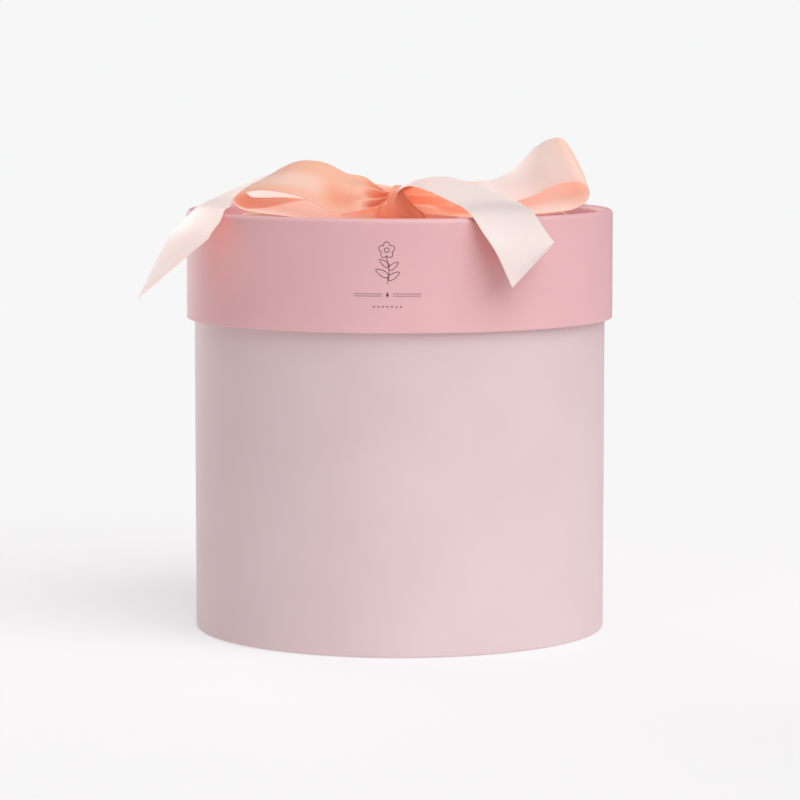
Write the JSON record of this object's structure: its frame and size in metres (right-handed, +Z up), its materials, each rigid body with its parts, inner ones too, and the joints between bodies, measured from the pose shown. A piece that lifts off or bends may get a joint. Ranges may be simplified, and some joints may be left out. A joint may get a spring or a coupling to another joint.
{
  "type": "round flower box",
  "caption": "Round paper-covered board box with a lift-off lid whose recessed top carries a satin ribbon tied in a bow; holds a bouquet or a cake upright.",
  "frame": {"origin": "centre of the underside, where the box stands", "axes": "+Z up along the box's axis, -Y towards the bow's front, +X to the right when seen from the front"},
  "size_m": [0.2731, 0.2572, 0.2887],
  "materials": {
    "greyboard": "raw grey millboard",
    "lid_paper": "matt coated pink wrap paper",
    "box_paper": "matt coated pale pink wrap paper",
    "lining_paper": "uncoated white lining paper",
    "satin_ribbon": "single-faced polyester satin, pale peach pink"
  },
  "bodies": {
    "box": {"box_tube": "greyboard", "box_wrap": "box_paper", "box_lining": "lining_paper", "base_disc": "greyboard", "floor_lining": "lining_paper", "base_cover": "box_paper"},
    "lid": {"lid_tube": "greyboard", "rim_ring": "greyboard", "lid_wrap": "lid_paper", "lid_panel": "greyboard", "panel_cover": "lid_paper", "lid_ceiling_lining": "lining_paper", "lid_side_lining": "lining_paper", "ribbon_under_run": "satin_ribbon", "ribbon_left_lead": "satin_ribbon", "ribbon_right_lead": "satin_ribbon", "bow_knot": "satin_ribbon", "bow_left_loop": "satin_ribbon", "bow_right_loop": "satin_ribbon", "bow_left_tail": "satin_ribbon", "bow_right_tail": "satin_ribbon"}
  },
  "joints": [
    {"name": "lid_lift", "type": "slide", "parent": "box", "child": "lid", "axis": [0, 0, 1], "range_m": [0, 0.08]}
  ]
}
